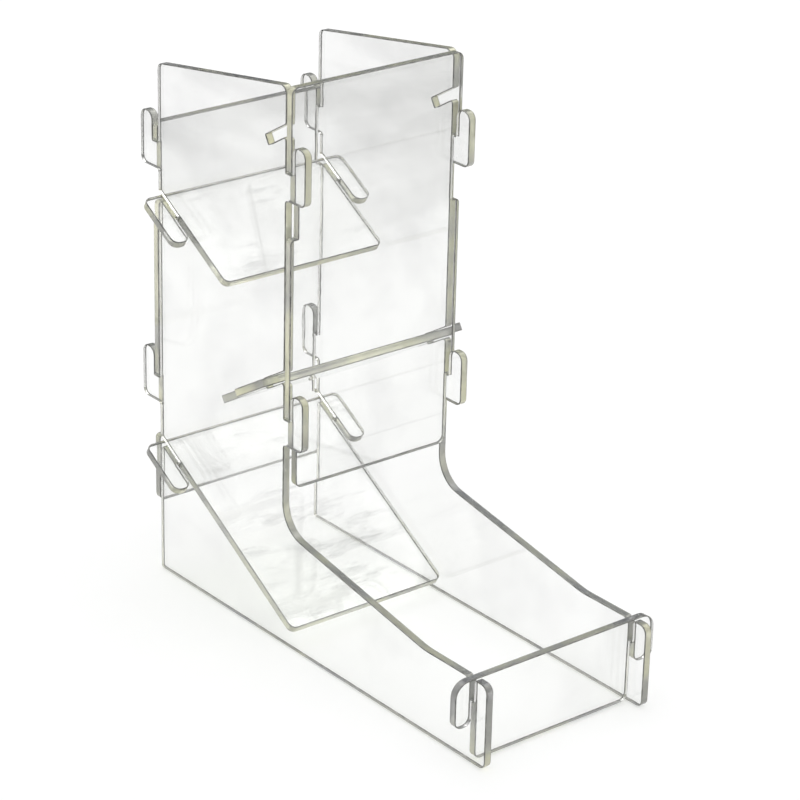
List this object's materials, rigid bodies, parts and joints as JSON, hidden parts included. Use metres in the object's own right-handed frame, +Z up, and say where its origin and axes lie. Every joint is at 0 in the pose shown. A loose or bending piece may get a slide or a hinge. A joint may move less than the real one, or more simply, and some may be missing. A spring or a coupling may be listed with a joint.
{
  "type": "dice tower",
  "caption": "Clear plug-together tower that tumbles dice down sloping ramps into an open tray; its front, back and tray panels lift out of hooked slots.",
  "frame": {"origin": "centre of the footprint of the whole object, on the surface it stands on", "axes": "+X across the tower from the left side panel to the right one, -Y along the tray away from the tower, +Z up"},
  "size_m": [0.0962, 0.214, 0.2248],
  "materials": {
    "clear_acrylic": "clear cast sheet with polished faces and flame-smooth laser-cut edges"
  },
  "bodies": {
    "root": {"side_panel_left": "clear_acrylic", "side_panel_right": "clear_acrylic", "upper_ramp": "clear_acrylic", "middle_ramp": "clear_acrylic", "lower_ramp": "clear_acrylic"},
    "front_panel": {"front_panel": "clear_acrylic"},
    "back_panel": {"back_panel": "clear_acrylic"},
    "tray_front_panel": {"tray_front_panel": "clear_acrylic"}
  },
  "joints": [
    {"name": "front_panel_lift", "type": "slide", "parent": "root", "child": "front_panel", "axis": [0, 0, 1], "range_m": [0, 0.014]},
    {"name": "back_panel_lift", "type": "slide", "parent": "root", "child": "back_panel", "axis": [0, 0, 1], "range_m": [0, 0.014]},
    {"name": "tray_front_panel_lift", "type": "slide", "parent": "root", "child": "tray_front_panel", "axis": [0, 0, 1], "range_m": [0, 0.034]}
  ]
}
